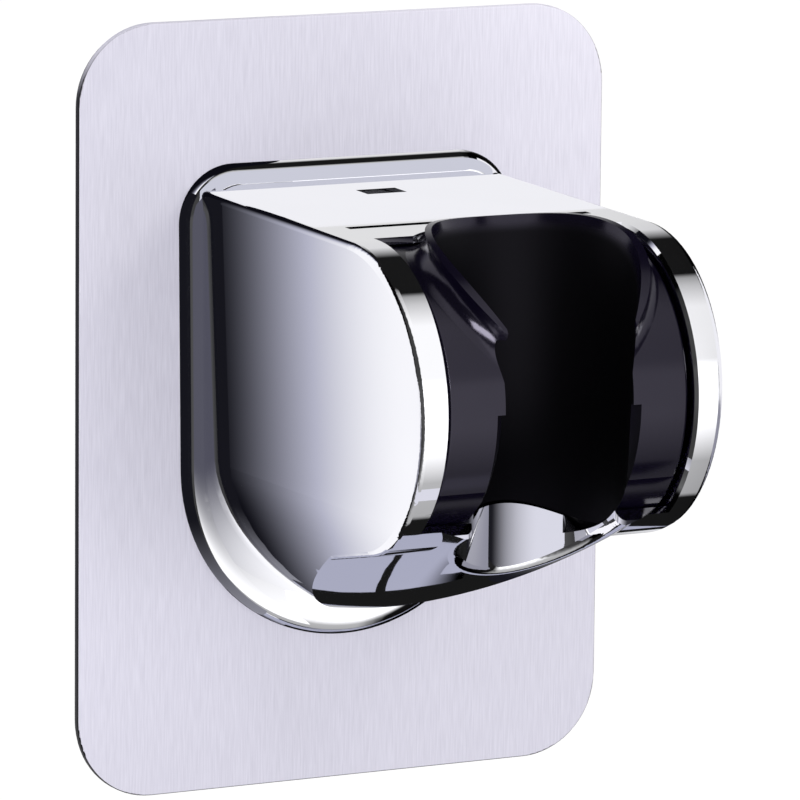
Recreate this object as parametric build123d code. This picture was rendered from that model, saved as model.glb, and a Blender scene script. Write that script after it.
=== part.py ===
from build123d import *
import math
import os

# Hand shower holder on an adhesive wall plate. Millimetres, +Z up, +X to the right, the wall at Y = 0.
# Depths are measured from the wall to the front, which is -Y. The origin is the centre of the wall face.

# Wall plate and its adhesive
plate_width = 75.5
plate_height = 100.0
plate_corner_radius = 10.5
plate_thickness = 0.8
plate_edge_round = 0.2
pad_thickness = 1.0
pad_margin = 0.4

# Foot flange of the housing
flange_radius = 23.3
flange_centre_height = -7.6
flange_top_height = 31.5
flange_corner_radius = 7.5
flange_thickness = 2.8
flange_edge_round = 2.4
flange_draft = 0.7

# Housing body, seen from the front: a U with slightly drafted sides
body_radius = 20.7
body_centre_height = -5.6
body_draft = 1.5
body_wall = 2.4
body_edge_round = 0.9
cheek_inner_edge = 0.4

# Drum pivot, the cheek discs round it and the pocket between them
pivot_depth = 44.0
pivot_height = 7.9
cheek_margin = 1.2
top_slope = 1.5
foot_slope = 12.0
cheek_gap = 34.0
pocket_clearance = 0.3
pocket_wall = 2.2
lip_setback = 0.4
chin_lip_angle = 50.0

# Underside of the housing: a keel line swept with a shallow cross curve
keel_start_depth = 2.0
keel_start_height = -27.9
keel_end_reach = 0.4
keel_end_lift = 0.4
keel_sag = 2.0
keel_cross_radius = 38.0
keel_sweep_margin = 8.0

# Openings of the housing and the rib on the pocket's floor, placed from the wall or from the pivot axis
window_depth = 12.0
window_length = 3.4
window_width = 5.6
slit_setback = 8.2
slit_width = 1.5
hose_notch_radius = 10.0
hose_notch_round = 1.2
cavity_setback = 15.0
rib_setback = 11.0
rib_reach = 4.0

# Cradle drum. The socket's throat is a radius and a height above the pivot axis
drum_radius = 18.4
drum_end_clearance = 0.4
drum_edge_round = 0.4
groove_depth = 4.2
groove_arch_radius = 14.0
socket_reach = 11.0
socket_bottom_radius = 10.3
socket_throat = (11.6, 10.1)
slot_width = 17.8
core_setback = 3.0
core_length = 5.0
core_rise = 3.1
core_width = 12.0
core_rib = 2.4

# Flared collar of the socket's mouth. Points on its curves are a radius and a height above the pivot axis
collar_rise = 2.9
collar_foot = (5.0, -1.5)
collar_waist = (12.3, 11.1)
collar_top_radius = 14.5
collar_blend = 2.2
collar_clearance = 2.0
mouth_waist = (12.2, 14.7)
mouth_top_radius = 13.8

# Trunnions and their friction washers
trunnion_radius = 4.5
trunnion_length = 2.6
trunnion_fit = 0.05
trunnion_end_gap = 0.2
washer_outer_radius = 7.5
washer_thickness = 1.4
washer_radial_gap = 0.1
washer_face_gap = 0.05

# Mounting base inside the housing
base_depth = 12.0
base_floor = 3.0
base_wall = 2.0
base_clearance = 0.25
latch_width = 5.0
latch_side_slot = 0.9
latch_hook_length = 2.8
latch_hook_recess = 0.6
latch_thickness = 1.5
nose_width = 8.0
nose_length = 2.6
nose_height = 1.0
nose_depth = 10.5

# Studs, washers and nuts that hold the base to the plate
stud_spacing = 24.0
stud_centre_height = 1.0
stud_diameter = 4.0
stud_length = 8.8
stud_hole_clearance = 0.2
stud_foot_diameter = 5.5
stud_foot_height = 0.7
stud_washer_diameter = 9.0
stud_washer_thickness = 0.8
nut_across_flats = 7.0
nut_height = 3.2
nut_bore_clearance = 0.05

# Values that follow from the ones above
plate_front = pad_thickness + plate_thickness
flange_front = plate_front + flange_thickness
pocket_radius = drum_radius + pocket_clearance
cheek_radius = drum_radius + cheek_margin
half_gap = cheek_gap / 2
drum_half = half_gap - drum_end_clearance
overrun = 1.0
far = 120.0
match_tolerance = 0.01
body_reach = pivot_depth + cheek_radius + overrun
top_tangent_depth = pivot_depth + cheek_radius * math.sin(math.radians(top_slope))
top_tangent_height = pivot_height + cheek_radius * math.cos(math.radians(top_slope))
top_back_height = top_tangent_height + top_tangent_depth * math.tan(math.radians(top_slope))
collar_radius = drum_radius + collar_rise
socket_depth = pivot_depth + socket_reach
slit_depth = pivot_depth - slit_setback
keel_end_depth = pivot_depth + cheek_radius * math.cos(math.radians(chin_lip_angle)) + keel_end_reach
keel_end_height = pivot_height - drum_radius + keel_end_lift
trunnion_reach = trunnion_length - drum_end_clearance
washer_seat = half_gap - washer_face_gap - washer_thickness
keel_run = keel_end_depth - keel_start_depth
keel_rise = keel_end_height - keel_start_height
keel_chord = math.hypot(keel_run, keel_rise)
keel_radius = keel_chord ** 2 / (8 * keel_sag) + keel_sag / 2
keel_offset = keel_radius - keel_sag
keel_centre_depth = (keel_start_depth + keel_end_depth) / 2 - keel_offset * keel_rise / keel_chord
keel_centre_height = (keel_start_height + keel_end_height) / 2 + keel_offset * keel_run / keel_chord

# Side view: local x is the depth from the wall, local y is the height
side = Plane(origin=(0, 0, 0), x_dir=(0, -1, 0), z_dir=(-1, 0, 0))


def front_plane(depth):
    """A plane that faces the front, at this depth from the wall."""
    return Plane.XZ.offset(depth)


def top_height(depth):
    """Height of the sloping top face at this depth."""
    return top_back_height - depth * math.tan(math.radians(top_slope))


def across(profile, half_width):
    """A side-view profile made solid across the part."""
    return extrude(side * profile, amount=half_width, both=True)


def pivot_cylinder(radius, half_width):
    """A cylinder on the pivot axis."""
    return Pos(0, -pivot_depth, pivot_height) * Rot(0, 90, 0) * Cylinder(radius, 2 * half_width)


def upright_cylinder(depth, radius, bottom_height, top_height):
    """An upright cylinder at this depth, between two heights."""
    height = top_height - bottom_height
    return Pos(0, -depth, bottom_height + height / 2) * Cylinder(radius, height)


def block(half_width, depth_from, depth_to, height_from, height_to):
    """A block centred across the part, between two depths and two heights."""
    size = (2 * half_width, depth_to - depth_from, height_to - height_from)
    centre = (0, -(depth_from + depth_to) / 2, (height_from + height_to) / 2)
    return Pos(*centre) * Box(*size)


def u_outline(radius, centre_height, top, draft):
    """Front view of a U: a round bottom with tangent sides that open upwards by the draft angle."""
    tilt = math.radians(draft)
    side_x = radius * math.cos(tilt)
    side_z = centre_height - radius * math.sin(tilt)
    top_x = side_x + (top - side_z) * math.tan(tilt)
    left = Line((-top_x, top), (-side_x, side_z))
    bottom = ThreePointArc((-side_x, side_z), (0, centre_height - radius), (side_x, side_z))
    right = Line((side_x, side_z), (top_x, top))
    lid = Line((top_x, top), (-top_x, top))
    return make_face([left, bottom, right, lid])


def keel_height(depth):
    """Height of the keel line at this depth."""
    return keel_centre_height - math.sqrt(keel_radius ** 2 - (depth - keel_centre_depth) ** 2)


def keel_angle(depth):
    """Angle of a point of the keel line about its centre, in degrees, from straight down to the front."""
    return math.degrees(math.asin((depth - keel_centre_depth) / keel_radius))


def keel_solid(inset):
    """All that lies above the underside surface, moved inwards by the inset."""
    cross_radius = keel_cross_radius - inset
    cross_centre = keel_radius - keel_cross_radius
    half_span = flange_radius
    edge = cross_centre + math.sqrt(cross_radius ** 2 - half_span ** 2)
    roof = cross_centre - keel_cross_radius
    centre = (0, -keel_centre_depth, keel_centre_height)
    outline = [
        Line((-half_span, roof), (-half_span, edge)),
        ThreePointArc((-half_span, edge), (0, cross_centre + cross_radius), (half_span, edge)),
        Line((half_span, edge), (half_span, roof)),
        Line((half_span, roof), (-half_span, roof)),
    ]
    section = Plane(origin=centre, x_dir=(1, 0, 0), z_dir=(0, 1, 0)) * make_face(outline)
    axis = Axis(centre, (1, 0, 0))
    first = keel_angle(keel_start_depth - keel_sweep_margin)
    last = keel_angle(keel_end_depth + keel_sweep_margin)
    return revolve(section.rotate(axis, -first), axis, first - last)


def inner_form(inset, depth_from, depth_to):
    """The body's form moved inwards by the inset, between two depths."""
    outline = u_outline(body_radius - inset, body_centre_height, top_back_height + overrun, body_draft)
    form = extrude(front_plane(depth_from) * outline, amount=depth_to - depth_from)
    roof_back = (0, top_height(0) - inset)
    roof_front = (far, top_height(far) - inset)
    form &= across(make_face(Polyline(roof_back, roof_front, (far, -far), (0, -far), roof_back)), far)
    return form & (keel_solid(inset) + block(far, 0, far, pivot_height, far))


def cheek_profile():
    """Side view of top wall and cheeks: a sloping top, a round front and a line that falls to the wall."""
    slope = math.radians(foot_slope)
    front = (pivot_depth + cheek_radius, pivot_height)
    foot = (pivot_depth + cheek_radius * math.sin(slope), pivot_height - cheek_radius * math.cos(slope))
    foot_back = (0, foot[1] - foot[0] * math.tan(slope))
    outline = [
        Line((0, top_back_height), (top_tangent_depth, top_tangent_height)),
        ThreePointArc((top_tangent_depth, top_tangent_height), front, foot),
        Line(foot, foot_back),
        Line(foot_back, (0, top_back_height)),
    ]
    return make_face(outline)


def make_body():
    """The housing's outer form in front of its flange, before it is hollowed."""
    outline = u_outline(body_radius, body_centre_height, top_back_height + overrun, body_draft)
    hull = extrude(front_plane(plate_front) * outline, amount=body_reach - plate_front)
    upper = across(cheek_profile(), far)
    lower = keel_solid(0) & block(far, 0, keel_end_depth, -far, pivot_height - cheek_radius / 2)
    return hull & (upper + lower)


def outer_edges(body):
    """The long edges along the top and round the front of both cheeks."""
    found = []
    for edge in body.edges():
        middle = edge @ 0.5
        seam = edge.geom_type == GeomType.LINE and middle.Z < pivot_height
        outside = abs(middle.X) > half_gap and middle.Z > pivot_height - cheek_radius
        if outside and not seam and -middle.Y > flange_front:
            found.append(edge)
    return found


def cheek_rim_edges(shell):
    """The front edges of the cheeks' inner faces."""
    found = []
    for edge in shell.edges().filter_by(GeomType.CIRCLE):
        middle = edge @ 0.5
        on_inner_face = abs(abs(middle.X) - half_gap) < match_tolerance
        if on_inner_face and abs(edge.radius - cheek_radius) < match_tolerance:
            found.append(edge)
    return found


def notch_edges(shell):
    """The lower edges of the hose notch, on the underside."""
    found = []
    for edge in shell.edges():
        middle = edge @ 0.5
        from_axis = math.hypot(middle.X, min(0, -middle.Y - socket_depth))
        from_pivot = math.hypot(middle.Y + pivot_depth, middle.Z - pivot_height)
        on_wall = abs(from_axis - hose_notch_radius) < match_tolerance and middle.Z < 0
        seam = abs(middle.Y + socket_depth) < match_tolerance
        if on_wall and not seam and from_pivot > cheek_radius:
            found.append(edge)
    return found


def make_flange():
    """The foot that lies on the plate, with a rounded front edge."""
    outline = u_outline(flange_radius, flange_centre_height, flange_top_height, flange_draft)
    corners = outline.vertices().group_by(Axis.Z)[-1]
    outline = fillet(corners, flange_corner_radius)
    flange = extrude(front_plane(plate_front) * outline, amount=flange_thickness)
    return fillet(flange.faces().sort_by(Axis.Y)[0].edges(), flange_edge_round)


def pocket_profile():
    """Side view of the room for the drum: its circle, open from the chin lip round to the top lip."""
    drop = math.radians(chin_lip_angle)
    centre = (pivot_depth, pivot_height)
    chin = (pivot_depth + far * math.cos(drop), pivot_height - far * math.sin(drop))
    lip_end_depth = pivot_depth - lip_setback
    lip = (lip_end_depth, pivot_height)
    opening = make_face(Polyline(lip, (lip_end_depth, far), (far, far), chin, centre, lip))
    return opening + Pos(*centre) * Circle(pocket_radius)


def guide_ring(clearance):
    """Ring of round section below the pivot: the drum's groove, or less a clearance the rib in it."""
    ring_radius = drum_radius - groove_depth + groove_arch_radius
    ring = Torus(ring_radius, groove_arch_radius - clearance)
    placed = Pos(0, -pivot_depth, pivot_height) * Rot(0, 90, 0) * ring
    return placed & block(far, 0, far, -far, pivot_height)


def make_pocket():
    """Room for the drum between the cheeks, less the guide rib on its floor."""
    span = block(far, pivot_depth - rib_setback, pivot_depth + rib_reach, -far, 0)
    rib = guide_ring(pocket_clearance) & span
    return across(pocket_profile(), half_gap) - rib


def make_cavity():
    """The hollow behind the pocket, open to the wall, with an even wall round it."""
    room = inner_form(body_wall, plate_front - overrun, pivot_depth - cavity_setback)
    return room - pivot_cylinder(pocket_radius + pocket_wall, far)


def make_housing():
    """Chrome shell: flange, hollow body, cheeks, pocket with its rib, latch window, slit and hose notch."""
    body = make_body()
    shell = fillet(outer_edges(body), body_edge_round) + make_flange()
    shell -= make_pocket()
    shell -= make_cavity()
    shell -= upright_cylinder(socket_depth, collar_top_radius + collar_clearance, pivot_height, far)
    shell -= upright_cylinder(socket_depth, hose_notch_radius, -far, 0)
    shell -= block(hose_notch_radius, socket_depth, far, -far, 0)
    window_back = window_depth - window_length / 2
    shell -= block(window_width / 2, window_back, window_back + window_length, pivot_height, far)
    shell -= block(half_gap, slit_depth - slit_width / 2, slit_depth + slit_width / 2, pivot_height, far)
    shell -= pivot_cylinder(trunnion_radius + trunnion_fit, half_gap + trunnion_reach + trunnion_end_gap)
    shell -= nose_block(base_clearance)
    shell = chamfer(cheek_rim_edges(shell), cheek_inner_edge)
    return fillet(notch_edges(shell), hose_notch_round)


def turned(outline):
    """A profile of radius and height above the pivot, turned about the socket's axis."""
    axis = Axis((0, -socket_depth, 0), (0, 0, 1))
    return revolve(Pos(0, -socket_depth, pivot_height) * Rot(90, 0, 0) * make_face(outline), axis)


def make_collar():
    """The flared collar round the socket's mouth, cut level with its ridge."""
    foot_height = collar_foot[1]
    outline = [
        Line((0, foot_height), collar_foot),
        ThreePointArc(collar_foot, collar_waist, (collar_top_radius, collar_radius)),
        Line((collar_top_radius, collar_radius), (0, collar_radius)),
        Line((0, collar_radius), (0, foot_height)),
    ]
    return turned(outline) & pivot_cylinder(collar_radius, drum_half)


def blend_edges(drum):
    """The edges where the collar meets the drum's round surface."""
    found = []
    for edge in drum.edges():
        middle = edge @ 0.5
        reach = math.hypot(middle.Y + pivot_depth, middle.Z - pivot_height)
        if abs(reach - drum_radius) < match_tolerance and middle.Z > pivot_height and edge.is_closed:
            found.append(edge)
    return found


def make_drum():
    """The drum with its blended collar, before the socket is bored."""
    drum = pivot_cylinder(drum_radius, drum_half)
    drum = fillet(drum.edges().filter_by(GeomType.CIRCLE), drum_edge_round) + make_collar()
    return fillet(blend_edges(drum), collar_blend)


def make_socket():
    """Room for the hose cone: a taper with a bell mouth, and the slot to the front."""
    bottom = -drum_radius
    mouth = (mouth_top_radius, collar_radius)
    outline = [
        Line((0, bottom), (socket_bottom_radius, bottom)),
        Line((socket_bottom_radius, bottom), socket_throat),
        ThreePointArc(socket_throat, mouth_waist, mouth),
        Line(mouth, (0, collar_radius)),
        Line((0, collar_radius), (0, bottom)),
    ]
    return turned(outline) + block(slot_width / 2, socket_depth, far, -far, far)


def make_cradle():
    """Black drum with trunnions, tapered socket, slot, flared collar and a guide groove below."""
    drum = make_drum() - make_socket() - guide_ring(0)
    core_back = pivot_depth - core_setback - core_length
    for hand in (-1, 1):
        core = block(core_width / 2, core_back, core_back + core_length, -far, pivot_height + core_rise)
        drum -= Pos(hand * (core_width + core_rib) / 2, 0, 0) * core
    outside = pivot_cylinder(far, far) - pivot_cylinder(far + overrun, washer_seat)
    trunnions = pivot_cylinder(trunnion_radius, half_gap + trunnion_reach) & outside
    recess = pivot_cylinder(washer_outer_radius + washer_radial_gap, half_gap) & outside
    return drum - (recess - trunnions) + trunnions


def make_friction_washer(hand):
    """Flat ring round one trunnion, seated in the drum's end and bearing on the cheek."""
    ring = Cylinder(washer_outer_radius, washer_thickness)
    ring -= Cylinder(trunnion_radius + washer_radial_gap, washer_thickness)
    middle = hand * (washer_seat + washer_thickness / 2)
    return Pos(middle, -pivot_depth, pivot_height) * Rot(0, 90, 0) * ring


def rounded_sheet(width, height, corner, thickness, depth):
    """A sheet with rounded corners, its back at this depth."""
    return extrude(front_plane(depth) * RectangleRounded(width, height, corner), amount=thickness)


def make_plate():
    """Brushed steel sheet with softly broken front edges."""
    plate = rounded_sheet(plate_width, plate_height, plate_corner_radius, plate_thickness, pad_thickness)
    return fillet(plate.faces().sort_by(Axis.Y)[0].edges(), plate_edge_round)


def make_pad():
    """Adhesive sheet behind the plate, a little smaller than it."""
    inset = 2 * pad_margin
    corner = plate_corner_radius - pad_margin
    return rounded_sheet(plate_width - inset, plate_height - inset, corner, pad_thickness, 0)


def at_studs(shape):
    """The same piece at both studs."""
    heights = (stud_centre_height + stud_spacing / 2, stud_centre_height - stud_spacing / 2)
    return Compound(children=[Pos(0, 0, height) * shape for height in heights])


def bolt_cylinder(diameter, depth_from, length):
    """A cylinder on a stud's axis, from this depth towards the front."""
    return extrude(front_plane(depth_from) * Circle(diameter / 2), amount=length)


def make_stud():
    """Weld stud: a flanged foot on the plate and a plain shank."""
    foot = bolt_cylinder(stud_foot_diameter, plate_front, stud_foot_height)
    return foot + bolt_cylinder(stud_diameter, plate_front, stud_length)


def make_stud_washer():
    """Plain washer on the floor of the base."""
    hole = stud_diameter + 2 * stud_hole_clearance
    floor_front = plate_front + base_floor
    disc = bolt_cylinder(stud_washer_diameter, floor_front, stud_washer_thickness)
    return disc - bolt_cylinder(hole, floor_front, far)


def make_stud_nut():
    """Hexagon nut on the washer."""
    seat = plate_front + base_floor + stud_washer_thickness
    hexagon = RegularPolygon(nut_across_flats / 2, 6, major_radius=False)
    nut = extrude(front_plane(seat) * hexagon, amount=nut_height)
    return nut - bolt_cylinder(stud_diameter + 2 * nut_bore_clearance, seat, far)


def nose_block(clearance):
    """Nose at the foot of the base, or with a clearance the recess for it in the housing's wall."""
    wall_height = keel_height(nose_depth) + body_wall
    return block(nose_width / 2 + clearance, nose_depth - clearance, nose_depth + nose_length + clearance,
                 wall_height - nose_height - clearance, wall_height + base_wall)


def make_base():
    """Open tray that fits the housing's hollow, with a latch finger at the top and a nose at the bottom."""
    base_front = plate_front + base_depth
    inset = body_wall + base_clearance
    inner_top = top_height(base_front) - inset - latch_thickness
    inner = u_outline(body_radius - inset - base_wall, body_centre_height, inner_top, body_draft)
    tray = inner_form(inset, plate_front, base_front)
    tray -= extrude(front_plane(plate_front + base_floor) * inner, amount=base_depth)
    for hand in (-1, 1):
        slot_middle = hand * (latch_width + latch_side_slot) / 2
        slot = block(latch_side_slot / 2, plate_front + base_floor, far, inner_top - overrun, far)
        tray -= Pos(slot_middle, 0, 0) * slot
    hook_back = window_depth - latch_hook_length / 2
    hook_top = top_height(window_depth) - latch_hook_recess
    tray += block(latch_width / 2, hook_back, hook_back + latch_hook_length, inner_top, hook_top)
    tray += nose_block(0)
    hole = bolt_cylinder(stud_foot_diameter + 2 * stud_hole_clearance, 0, far)
    for stud_hole in at_studs(hole).solids():
        tray -= stud_hole
    return tray


def make_parts():
    """Every piece by its node name."""
    return {
        "adhesive_pad": make_pad(),
        "wall_plate": make_plate(),
        "plate_studs": at_studs(make_stud()),
        "mounting_base": make_base(),
        "stud_washers": at_studs(make_stud_washer()),
        "stud_nuts": at_studs(make_stud_nut()),
        "bracket_housing": make_housing(),
        "cradle": make_cradle(),
        "friction_washer_left": make_friction_washer(-1),
        "friction_washer_right": make_friction_washer(1),
    }


if __name__ == "__main__":
    os.makedirs("parts", exist_ok=True)
    for name, shape in make_parts().items():
        export_step(shape, f"parts/{name}.step")
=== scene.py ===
import math

import bpy
from mathutils import Matrix, Vector

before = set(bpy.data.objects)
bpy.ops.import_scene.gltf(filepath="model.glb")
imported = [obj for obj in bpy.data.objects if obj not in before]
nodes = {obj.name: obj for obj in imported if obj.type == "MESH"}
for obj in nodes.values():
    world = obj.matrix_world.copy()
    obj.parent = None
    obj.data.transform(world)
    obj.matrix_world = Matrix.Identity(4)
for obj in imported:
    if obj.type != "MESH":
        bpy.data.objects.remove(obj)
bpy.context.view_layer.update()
scene = bpy.context.scene

# Camera, in metres and degrees: a long lens on the viewer's left, looking slightly down.
# The sensor is in millimetres, and the focal length and the picture's width are in pixels
CAMERA_YAW = 27.606
CAMERA_PITCH = 9.670
CAMERA_ROLL = 0.530
CAMERA_DISTANCE = 0.93244
CAMERA_TARGET = Vector((0.009248, 0.0, -0.001204))
CLIP_RANGE = (0.01, 20.0)
SENSOR_WIDTH = 36.0
FOCAL_LENGTH = 7163.684
PICTURE_WIDTH = 800

# Edges sharper than this angle in degrees stay sharp in the shading
SHARP_ANGLE = 25.0

WHITE = (1.0, 1.0, 1.0)
BLACK = (0.0, 0.0, 0.0)
# Colours of the painted reflections in the flats
GREY = (0.43, 0.44, 0.56)
PALE = (0.78, 0.78, 0.86)
NEAR_WHITE = (0.95, 0.95, 0.98)

# Studio mirrored in the metal: brightness by the angle about the X axis, in degrees from the front upwards
FULL_TURN = (-180.0, 180.0)
WALL_BANDS = [
    (-180, 0.01), (-75, 0.01), (-45, 0.9), (-20, 1.7), (13, 1.7), (20, 1.1), (60, 1.1),
    (78, 0.65), (85, 0.4), (88, 0.01), (130, 0.01), (146, 0.78), (178, 0.8), (180, 0.01),
]
FLOOR_BANDS = [(-93, 0.0), (-89, 0.45), (-60, 0.52), (-40, 0.5), (-31, 0.4), (-20, 0.12), (-10, 0.0)]
# Brightness of walls and floor by the sideways part of the mirrored direction, from left to right
ACROSS = (-1.0, 1.0)
WALL_SIDES = [(-1.0, 0.05), (-0.42, 0.05), (-0.28, 1.0), (0.48, 1.0), (0.58, 0.01)]
FLOOR_SIDES = [(-0.7, 0.1), (-0.2, 1.0), (0.48, 1.0), (0.58, 0.01)]

# Painted reflections and painted shade: glowing flats that show only in the metal and the gloss, from the
# side on which their corners run anticlockwise.
# Each has its Y and the X and Z of its corners, in metres.
# The side flat is a painted reflection with painted shade: dark up and to the right of a corner behind the
# housing, and brighter with the distance to the left and downwards from it
SIDE_FLAT = (0.004, [(-0.35, -0.2), (-0.0065, -0.2), (-0.0065, 0.15), (-0.35, 0.15)])
SIDE_FLAT_CORNER = (-0.010, 0.0, -0.012)
SIDE_FLAT_FADE = (0.0160, 0.0448)
SIDE_FLAT_DARK = (0.004, 0.004, 0.007)
SIDE_FLAT_MIDDLE = (0.50, 0.505, 0.61)
SIDE_FLAT_BRIGHT = (1.05, 1.05, 1.07)
# Flats of one colour, painted reflections; the black drum flat is painted shade in the cradle's gloss
PLAIN_FLATS = {
    "left_flat": (
        (0.003, [(-0.020, -0.085), (-0.0037, -0.085), (0.0058, -0.0436), (-0.020, -0.034)]),
        GREY,
    ),
    "lip_flat": (
        (0.0025, [(0.0165, -0.16), (0.060, -0.16), (0.060, -0.056), (0.0165, -0.056)]),
        GREY,
    ),
    "flange_flat": (
        (-0.0053, [(-0.021, 0.027), (0.045, 0.027), (0.045, 0.034), (-0.021, 0.034)]),
        (0.93, 0.93, 0.96),
    ),
    "drum_flat": (
        (-0.0595, [(0.0165, -0.0078), (-0.0165, -0.0078), (-0.0165, 0.003), (0.0165, 0.003)]),
        BLACK,
    ),
}
# Flats that change from one colour to another along an axis, between two places: painted reflections, dark
# at one end with painted shade. The shade flat paints shade into the mirrored left of the housing's foot
FADING_FLATS = {
    "right_flat": (
        (0.003, [(-0.0018, -0.085), (0.0225, -0.085), (0.0225, -0.0499), (0.0076, -0.0445)]),
        ("X", (0.0215, 0.0125), BLACK, GREY),
    ),
    "notch_flat": (
        (-0.066, [(0.022, -0.0195), (-0.03, -0.0195), (-0.03, -0.009), (0.022, -0.009)]),
        ("X", (0.019, -0.0055), (0.012, 0.012, 0.016), PALE),
    ),
    "far_side_flat": (
        (0.004, [(0.028, -0.045), (0.35, -0.045), (0.35, 0.022), (0.028, 0.022)]),
        ("X", (0.030, 0.062), (0.01, 0.01, 0.015), NEAR_WHITE),
    ),
    "shade_flat": (
        (-0.012, [(0.0, -0.05), (-0.034, -0.05), (-0.034, 0.033), (-0.020, 0.033)]),
        ("Z", (-0.008, -0.031), (0.10, 0.10, 0.13), (1.2, 1.2, 1.2)),
    ),
}
# A slanted flat over the housing's top, a painted reflection
ROOF_FLAT = [
    (0.060, -0.040, 0.0295),
    (-0.040, -0.040, 0.0295),
    (-0.040, -0.008, 0.050),
    (0.060, -0.008, 0.050),
]
ROOF_COLOUR = (0.66, 0.67, 0.75)
# A flat bent round the left of the housing's foot, in metres and degrees, dark at the side and paler below:
# a painted shadow line that the foot's edge mirrors
EDGE_RADIUS = 0.0239
EDGE_CENTRE_HEIGHT = -0.0076
EDGE_TOP = (-0.0244, 0.030)
EDGE_ANGLES = (60, 48, 36, 24, 12, 0)
EDGE_DEPTHS = (-0.0042, 0.0005)
EDGE_FADE = ("Z", (-0.014, -0.034), (0.009, 0.009, 0.013), (0.35, 0.35, 0.4))
# Distant flats of painted reflection that the housing's sides mirror when they are seen straight on
END_FLATS = {
    "left_end_flat": [(-0.4, -0.12, -0.3), (-0.4, 0.04, -0.3), (-0.4, 0.04, 0.02), (-0.4, -0.12, 0.02)],
    "right_end_flat": [(0.4, -0.4, -0.35), (0.4, -0.4, 0.4), (0.4, 0.05, 0.4), (0.4, 0.05, -0.35)],
}
END_FADE = ("Z", (-0.11, -0.03), (0.3, 0.3, 0.36), NEAR_WHITE)
# A small glowing flat beside the collar, seen only in mirrored rays: a painted glint on the collar
GLINT_FLAT = [
    (-0.0165, -0.063, 0.012),
    (-0.0165, -0.063, 0.020),
    (-0.0165, -0.067, 0.020),
    (-0.0165, -0.067, 0.012),
]
GLINT_STRENGTH = 14.0

# Soft lamps in front of the plate: place, width and height in metres, watts and colour, and the turn about X
# in degrees that points them at the wall
PLATE_LAMPS = {
    "corner_lamp": ((0.085, -0.09, 0.12), 0.06, 0.06, 0.12, (1.0, 0.985, 0.88)),
    "left_lamp": ((-0.075, -0.06, -0.006), 0.03, 0.06, 0.014, WHITE),
}
LAMP_TURN = 90.0

# Painted shade in the socket of the cradle, in metres: a point on its axis, the pivot, the distances from
# the pivot over which the mouth turns matt and shaded, and the offsets from the axis, along the normal, over
# which a surface is inside
SOCKET_AXIS = (0.0, -0.055, 0.0)
PIVOT = (0.0, -0.044, 0.0079)
MOUTH_FADE = (0.0208, 0.0190)
FACING_FADE = (0.0, -0.003)
# How much rougher the socket is than the outside
SOCKET_ROUGHENING = 0.35
# Parts of the normal, to the front and upwards, over which painted shade darkens the plate's cut edge, which
# stays lit where it faces up
FLATNESS_FADE = (0.97, 0.80)
UPWARD_FADE = (0.8, 0.1)
# Streaks per metre in the brushed plate, along X, Y and Z
GRAIN_SCALE = (4500.0, 4500.0, 220.0)

FLOOR_HEIGHT = -0.16
FLOOR_REACH = 6.0
FLOOR_GLOW = 0.12


def add_camera():
    """Places the camera at the photograph's viewing angle."""
    yaw = math.radians(CAMERA_YAW)
    pitch = math.radians(CAMERA_PITCH)
    roll = math.radians(CAMERA_ROLL)
    back = Vector((-math.sin(yaw) * math.cos(pitch), -math.cos(yaw) * math.cos(pitch), math.sin(pitch)))
    level_right = Vector((math.cos(yaw), -math.sin(yaw), 0.0))
    level_up = back.cross(level_right)
    right = math.cos(roll) * level_right + math.sin(roll) * level_up
    up = -math.sin(roll) * level_right + math.cos(roll) * level_up
    data = bpy.data.cameras.new("camera")
    data.sensor_width = SENSOR_WIDTH
    data.lens = SENSOR_WIDTH * (FOCAL_LENGTH / PICTURE_WIDTH)
    data.clip_start, data.clip_end = CLIP_RANGE
    camera = bpy.data.objects.new("camera", data)
    scene.collection.objects.link(camera)
    turn = Matrix((right, up, back)).transposed().to_4x4()
    camera.matrix_world = Matrix.Translation(CAMERA_TARGET + CAMERA_DISTANCE * back) @ turn
    scene.camera = camera


def smooth_shading():
    """Shades each CAD node smoothly, with its sharp edges kept."""
    for node in nodes.values():
        node.data.shade_smooth()
        node.data.set_sharp_from_angle(angle=math.radians(SHARP_ANGLE))


def new_material(name):
    """A material with its node tree, its shader and its object coordinates."""
    material = bpy.data.materials.new(name)
    material.use_nodes = True
    tree = material.node_tree
    shader = tree.nodes["Principled BSDF"]
    coords = tree.nodes.new("ShaderNodeTexCoord")
    return material, tree, shader, coords.outputs["Object"]


def scaled(tree, vector, scale):
    """The coordinates stretched by a scale on each axis."""
    mapping = tree.nodes.new("ShaderNodeMapping")
    mapping.inputs["Scale"].default_value = scale
    tree.links.new(vector, mapping.inputs["Vector"])
    return mapping.outputs["Vector"]


def noise(tree, vector, scale, detail=3.0, roughness=0.5):
    """A noise value, from 0 to 1."""
    texture = tree.nodes.new("ShaderNodeTexNoise")
    texture.inputs["Scale"].default_value = scale
    texture.inputs["Detail"].default_value = detail
    texture.inputs["Roughness"].default_value = roughness
    tree.links.new(vector, texture.inputs["Vector"])
    return texture.outputs["Fac"]


def remap(tree, value, low, high):
    """A 0 to 1 value spread between two limits."""
    node = tree.nodes.new("ShaderNodeMapRange")
    node.inputs["To Min"].default_value = low
    node.inputs["To Max"].default_value = high
    tree.links.new(value, node.inputs["Value"])
    return node.outputs["Result"]


def two_colours(tree, value, low, high):
    """A colour between two, by a 0 to 1 value."""
    ramp = tree.nodes.new("ShaderNodeValToRGB")
    ramp.color_ramp.elements[0].color = (*low, 1.0)
    ramp.color_ramp.elements[1].color = (*high, 1.0)
    tree.links.new(value, ramp.inputs["Fac"])
    return ramp.outputs["Color"]


def speckle(tree, shader, value, colours, roughness):
    """Base colour and roughness between two colours and two limits, by a 0 to 1 value."""
    tree.links.new(two_colours(tree, value, *colours), shader.inputs["Base Color"])
    tree.links.new(remap(tree, value, *roughness), shader.inputs["Roughness"])


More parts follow.
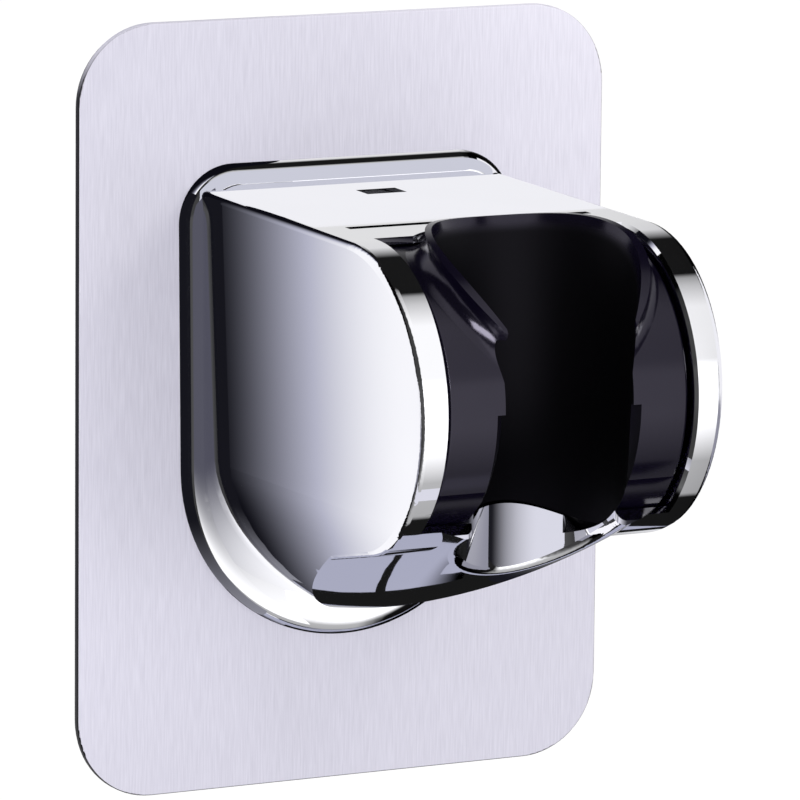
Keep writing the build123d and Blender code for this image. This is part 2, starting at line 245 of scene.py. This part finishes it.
def bump(tree, shader, value, strength, distance):
    """Fine relief from a height value."""
    node = tree.nodes.new("ShaderNodeBump")
    node.inputs["Strength"].default_value = strength
    node.inputs["Distance"].default_value = distance
    tree.links.new(value, node.inputs["Height"])
    tree.links.new(node.outputs["Normal"], shader.inputs["Normal"])


def math_node(tree, operation, first, second=0.0):
    """A value worked out from two others, which are sockets or numbers."""
    node = tree.nodes.new("ShaderNodeMath")
    node.operation = operation
    for socket, value in zip(node.inputs, (first, second)):
        if isinstance(value, (int, float)):
            socket.default_value = value
        else:
            tree.links.new(value, socket)
    return node.outputs["Value"]


def vector_math(tree, operation, first, second=(0.0, 0.0, 0.0)):
    """A vector node that works on two vectors, which are sockets or constants."""
    node = tree.nodes.new("ShaderNodeVectorMath")
    node.operation = operation
    for socket, value in zip(node.inputs, (first, second)):
        if isinstance(value, tuple):
            socket.default_value = value
        else:
            tree.links.new(value, socket)
    return node


def faded(tree, value, limits):
    """A value's share of the way between two limits."""
    fade = tree.nodes.new("ShaderNodeMapRange")
    fade.interpolation_type = "SMOOTHSTEP"
    fade.inputs["From Min"].default_value, fade.inputs["From Max"].default_value = limits
    tree.links.new(value, fade.inputs["Value"])
    return fade.outputs["Result"]


def painted_edge_shade(tree, coords):
    """Where shade is painted: 1 on the sheet's cut edges, apart from those that face up, and 0 on its faces.
    """
    axes = tree.nodes.new("ShaderNodeSeparateXYZ")
    tree.links.new(coords.node.outputs["Normal"], axes.inputs["Vector"])
    flatness = math_node(tree, "ABSOLUTE", axes.outputs["Y"])
    aside = faded(tree, flatness, FLATNESS_FADE)
    return math_node(tree, "MULTIPLY", aside, faded(tree, axes.outputs["Z"], UPWARD_FADE))


def brushed_steel():
    """Brushed along Z, with painted shade on its cut edges, apart from those that face up."""
    material, tree, shader, coords = new_material("brushed_steel")
    shader.inputs["Metallic"].default_value = 0.1
    grain = noise(tree, scaled(tree, coords, GRAIN_SCALE), scale=1.0, detail=2.0)
    colour = two_colours(tree, grain, low=(0.555, 0.54, 0.64), high=(0.75, 0.735, 0.84))
    edge = painted_edge_shade(tree, coords)
    # Painted shade: the cut edges get a darker colour and a weaker reflection
    shaded = vector_math(tree, "SCALE", colour)
    tree.links.new(remap(tree, edge, low=1.0, high=0.02), shaded.inputs["Scale"])
    tree.links.new(shaded.outputs["Vector"], shader.inputs["Base Color"])
    tree.links.new(remap(tree, edge, low=0.5, high=0.1), shader.inputs["Specular IOR Level"])
    tree.links.new(remap(tree, grain, low=0.40, high=0.55), shader.inputs["Roughness"])
    bump(tree, shader, grain, strength=0.05, distance=0.0001)
    return material


def chrome():
    """Mirror plating with a faint haze."""
    material, tree, shader, coords = new_material("chrome")
    shader.inputs["Metallic"].default_value = 1.0
    haze = noise(tree, coords, scale=60.0)
    speckle(tree, shader, haze, colours=((0.86, 0.86, 0.89), (0.91, 0.91, 0.94)), roughness=(0.02, 0.05))
    return material


def socket_shade_mask(tree, coords):
    """Where shade is painted: 1 in the socket's bore, fading out in its mouth, and 0 on the outside."""
    offset = vector_math(tree, "SUBTRACT", coords, SOCKET_AXIS).outputs["Vector"]
    level = vector_math(tree, "MULTIPLY", offset, (1.0, 1.0, 0.0)).outputs["Vector"]
    facing = vector_math(tree, "DOT_PRODUCT", level, coords.node.outputs["Normal"]).outputs["Value"]
    reach = vector_math(tree, "SUBTRACT", coords, PIVOT).outputs["Vector"]
    upright = vector_math(tree, "MULTIPLY", reach, (0.0, 1.0, 1.0)).outputs["Vector"]
    distance = vector_math(tree, "LENGTH", upright).outputs["Value"]
    return math_node(tree, "MULTIPLY", faded(tree, facing, FACING_FADE), faded(tree, distance, MOUTH_FADE))


def black_plastic():
    """Glossy outside, with a matt socket darkened by painted shade."""
    material, tree, shader, coords = new_material("black_plastic")
    inside = socket_shade_mask(tree, coords)
    # Painted shade: inside the socket the colour is darker and the reflection weaker
    colour = two_colours(tree, inside, low=(0.003, 0.002, 0.008), high=(0.0008, 0.0008, 0.0012))
    tree.links.new(colour, shader.inputs["Base Color"])
    haze = noise(tree, coords, scale=90.0)
    roughened = math_node(tree, "MULTIPLY_ADD", inside, SOCKET_ROUGHENING)
    tree.links.new(remap(tree, haze, low=0.14, high=0.22), roughened.node.inputs[2])
    tree.links.new(roughened, shader.inputs["Roughness"])
    tree.links.new(remap(tree, inside, low=0.45, high=0.14), shader.inputs["Specular IOR Level"])
    shader.inputs["Specular Tint"].default_value = (0.85, 0.80, 1.0, 1.0)
    bump(tree, shader, noise(tree, coords, scale=4000.0), strength=0.03, distance=0.00005)
    return material


def matte_plastic():
    """Fine-textured black plastic of the base."""
    material, tree, shader, coords = new_material("matte_plastic")
    haze = noise(tree, coords, scale=300.0)
    speckle(tree, shader, haze, colours=((0.008, 0.008, 0.009), (0.016, 0.016, 0.018)), roughness=(0.5, 0.7))
    shader.inputs["Specular IOR Level"].default_value = 0.1
    bump(tree, shader, noise(tree, coords, scale=3000.0), strength=0.1, distance=0.0001)
    return material


def foam():
    """Dark foam with fine cells."""
    material, tree, shader, coords = new_material("foam")
    cells = noise(tree, coords, scale=2500.0, detail=6.0, roughness=0.7)
    speckle(tree, shader, cells, colours=((0.05, 0.05, 0.055), (0.12, 0.12, 0.13)), roughness=(0.75, 0.95))
    bump(tree, shader, cells, strength=0.3, distance=0.0002)
    return material


def plain_steel():
    """Turned steel of the fasteners."""
    material, tree, shader, coords = new_material("plain_steel")
    shader.inputs["Metallic"].default_value = 1.0
    haze = noise(tree, coords, scale=800.0)
    speckle(tree, shader, haze, colours=((0.50, 0.50, 0.52), (0.62, 0.62, 0.64)), roughness=(0.2, 0.35))
    return material


def rubber():
    """Moulded rubber of the friction washers."""
    material, tree, shader, coords = new_material("rubber")
    haze = noise(tree, coords, scale=900.0)
    speckle(tree, shader, haze, colours=((0.02, 0.02, 0.02), (0.04, 0.04, 0.042)), roughness=(0.6, 0.8))
    return material


def dress_nodes():
    """Gives every CAD node its finish."""
    steel = plain_steel()
    ring = rubber()
    finishes = {
        "wall_plate": brushed_steel(),
        "bracket_housing": chrome(),
        "cradle": black_plastic(),
        "mounting_base": matte_plastic(),
        "adhesive_pad": foam(),
        "plate_studs": steel,
        "stud_washers": steel,
        "stud_nuts": steel,
        "friction_washer_left": ring,
        "friction_washer_right": ring,
    }
    for name, material in finishes.items():
        slots = nodes[name].data.materials
        slots.clear()
        slots.append(material)


def banded(tree, value, bands, limits):
    """Brightness by a value, from a list of values and levels between two limits."""
    low, high = limits
    share = tree.nodes.new("ShaderNodeMapRange")
    share.inputs["From Min"].default_value = low
    share.inputs["From Max"].default_value = high
    tree.links.new(value, share.inputs["Value"])
    ramp = tree.nodes.new("ShaderNodeValToRGB")
    stops = ramp.color_ramp.elements
    while len(stops) < len(bands):
        stops.new(0.5)
    for stop, (place, level) in zip(stops, bands):
        stop.position = (place - low) / (high - low)
        stop.color = (level, level, level, 1.0)
    tree.links.new(share.outputs["Result"], ramp.inputs["Fac"])
    return ramp.outputs["Color"]


def light_world():
    """Plain white light, and a studio of walls and floor that only the mirrored rays see."""
    world = bpy.data.worlds.new("studio")
    scene.world = world
    world.use_nodes = True
    tree = world.node_tree
    white = tree.nodes["Background"]
    white.inputs["Color"].default_value = (*WHITE, 1.0)
    coords = tree.nodes.new("ShaderNodeTexCoord")
    axes = tree.nodes.new("ShaderNodeSeparateXYZ")
    tree.links.new(coords.outputs["Generated"], axes.inputs["Vector"])
    forward = math_node(tree, "MULTIPLY", axes.outputs["Y"], -1.0)
    angle = math_node(tree, "ARCTAN2", axes.outputs["Z"], forward)
    turn = math_node(tree, "MULTIPLY", angle, math.degrees(1.0))
    levels = []
    for bands, sides in ((WALL_BANDS, WALL_SIDES), (FLOOR_BANDS, FLOOR_SIDES)):
        upright = banded(tree, turn, bands, FULL_TURN)
        levels.append(math_node(tree, "MULTIPLY", upright, banded(tree, axes.outputs["X"], sides, ACROSS)))
    level = math_node(tree, "MAXIMUM", *levels)
    studio = tree.nodes.new("ShaderNodeBackground")
    studio.inputs["Color"].default_value = (*WHITE, 1.0)
    tree.links.new(level, studio.inputs["Strength"])
    path = tree.nodes.new("ShaderNodeLightPath")
    choice = tree.nodes.new("ShaderNodeMixShader")
    mirrored = math_node(tree, "SUBTRACT", path.outputs["Is Glossy Ray"], path.outputs["Diffuse Depth"])
    mirrored.node.use_clamp = True
    tree.links.new(mirrored, choice.inputs["Fac"])
    tree.links.new(white.outputs["Background"], choice.inputs[1])
    tree.links.new(studio.outputs["Background"], choice.inputs[2])
    tree.links.new(choice.outputs["Shader"], tree.nodes["World Output"].inputs["Surface"])


def add_sheet(name, corners, material):
    """A stage piece of one or more quads, each with its own four corners."""
    mesh = bpy.data.meshes.new(name)
    mesh.from_pydata(corners, [], [range(first, first + 4) for first in range(0, len(corners), 4)])
    mesh.materials.append(material)
    sheet = bpy.data.objects.new(name, mesh)
    scene.collection.objects.link(sheet)
    return sheet


def add_flat(name, corners, material):
    """A flat that shows only in mirrored rays."""
    flat = add_sheet(name, corners, material)
    flat.visible_camera = False
    flat.visible_diffuse = False
    flat.visible_shadow = False


def glow(name, colour, strength=1.0, once=False):
    """A shining material with its tree, shader and coordinates, clear from behind and after a matt surface.

    With once, it is also clear to rays that have been mirrored more than once.
    """
    material, tree, shader, coords = new_material(name)
    side = tree.nodes.new("ShaderNodeNewGeometry")
    path = tree.nodes.new("ShaderNodeLightPath")
    clear = tree.nodes.new("ShaderNodeBsdfTransparent")
    choice = tree.nodes.new("ShaderNodeMixShader")
    unseen = math_node(tree, "MAXIMUM", side.outputs["Backfacing"], path.outputs["Diffuse Depth"])
    if once:
        again = math_node(tree, "SUBTRACT", path.outputs["Glossy Depth"], 1.0)
        unseen = math_node(tree, "MAXIMUM", unseen, again)
    unseen.node.use_clamp = True
    tree.links.new(unseen, choice.inputs["Fac"])
    tree.links.new(shader.outputs["BSDF"], choice.inputs[1])
    tree.links.new(clear.outputs["BSDF"], choice.inputs[2])
    tree.links.new(choice.outputs["Shader"], tree.nodes["Material Output"].inputs["Surface"])
    shader.inputs["Base Color"].default_value = (*BLACK, 1.0)
    shader.inputs["Specular IOR Level"].default_value = 0.0
    shader.inputs["Emission Color"].default_value = (*colour, 1.0)
    shader.inputs["Emission Strength"].default_value = strength
    return material, tree, shader, coords


def fading_glow(name, fade, once=False):
    """A shining material that changes colour along an axis."""
    axis, limits, low, high = fade
    material, tree, shader, coords = glow(name, high, once=once)
    axes = tree.nodes.new("ShaderNodeSeparateXYZ")
    tree.links.new(coords, axes.inputs["Vector"])
    colour = two_colours(tree, faded(tree, axes.outputs[axis], limits), low, high)
    tree.links.new(colour, shader.inputs["Emission Color"])
    return material


def at_depth(depth, places):
    """Corners with one Y, from their X and Z."""
    return [(x, depth, z) for x, z in places]


def add_side_flat():
    """The large flat of painted reflection and shade, that brightens to the left and downwards."""
    material, tree, shader, coords = glow("side_flat", WHITE)
    offset = vector_math(tree, "SUBTRACT", SIDE_FLAT_CORNER, coords).outputs["Vector"]
    outside = vector_math(tree, "MAXIMUM", offset).outputs["Vector"]
    level = vector_math(tree, "MULTIPLY", outside, (1.0, 0.0, 1.0)).outputs["Vector"]
    distance = vector_math(tree, "LENGTH", level).outputs["Value"]
    share = faded(tree, distance, SIDE_FLAT_FADE)
    colour = two_colours(tree, share, SIDE_FLAT_DARK, SIDE_FLAT_BRIGHT)
    colour.node.color_ramp.elements.new(0.5).color = (*SIDE_FLAT_MIDDLE, 1.0)
    tree.links.new(colour, shader.inputs["Emission Color"])
    add_flat("side_flat", at_depth(*SIDE_FLAT), material)


def add_edge_flat():
    """The bent flat beside the housing's foot, mirrored in it as a painted shadow line."""
    outline = []
    for angle in EDGE_ANGLES:
        turn = math.radians(angle)
        outline.append((-EDGE_RADIUS * math.cos(turn), EDGE_CENTRE_HEIGHT - EDGE_RADIUS * math.sin(turn)))
    outline.append(EDGE_TOP)
    front, back = EDGE_DEPTHS
    corners = []
    for (x0, z0), (x1, z1) in zip(outline, outline[1:]):
        corners += [(x0, front, z0), (x0, back, z0), (x1, back, z1), (x1, front, z1)]
    add_flat("edge_flat", corners, fading_glow("edge_flat", EDGE_FADE))


def add_flats():
    """All the flats of painted reflection and painted shade that the metal and the gloss mirror."""
    add_side_flat()
    add_edge_flat()
    for name, (flat, colour) in PLAIN_FLATS.items():
        add_flat(name, at_depth(*flat), glow(name, colour)[0])
    for name, (flat, fade) in FADING_FLATS.items():
        add_flat(name, at_depth(*flat), fading_glow(name, fade))
    for name, corners in END_FLATS.items():
        add_flat(name, corners, fading_glow(name, END_FADE, once=True))
    add_flat("roof_flat", ROOF_FLAT, glow("roof_flat", ROOF_COLOUR)[0])
    add_flat("glint_flat", GLINT_FLAT, glow("glint_flat", WHITE, GLINT_STRENGTH)[0])


def add_plate_lamps():
    """Soft lamps that even out the light on the plate and show in no mirror."""
    for name, (place, width, height, watts, colour) in PLATE_LAMPS.items():
        data = bpy.data.lights.new(name, "AREA")
        data.shape = "RECTANGLE"
        data.size = width
        data.size_y = height
        data.energy = watts
        data.color = colour
        lamp = bpy.data.objects.new(name, data)
        lamp.location = place
        lamp.rotation_euler.x = math.radians(LAMP_TURN)
        lamp.visible_camera = False
        lamp.visible_glossy = False
        scene.collection.objects.link(lamp)


def add_floor():
    """A plain pale floor well below the object."""
    material, tree, shader, coords = new_material("floor")
    tone = noise(tree, coords, scale=3.0)
    colour = two_colours(tree, tone, low=(0.89, 0.89, 0.89), high=(0.91, 0.91, 0.91))
    tree.links.new(colour, shader.inputs["Base Color"])
    shader.inputs["Roughness"].default_value = 1.0
    shader.inputs["Specular IOR Level"].default_value = 0.0
    shader.inputs["Emission Color"].default_value = (*WHITE, 1.0)
    shader.inputs["Emission Strength"].default_value = FLOOR_GLOW
    sides = ((-1, -1), (1, -1), (1, 1), (-1, 1))
    corners = [(FLOOR_REACH * x, FLOOR_REACH * y, FLOOR_HEIGHT) for x, y in sides]
    floor = add_sheet("floor", corners, material)
    floor.visible_glossy = False


scene.view_settings.view_transform = "Standard"
add_camera()
smooth_shading()
dress_nodes()
light_world()
add_flats()
add_plate_lamps()
add_floor()
# The chrome mirrors the flats behind the plate, so the plate and its pad are left out of the mirrors
for name in ("wall_plate", "adhesive_pad"):
    nodes[name].visible_glossy = False
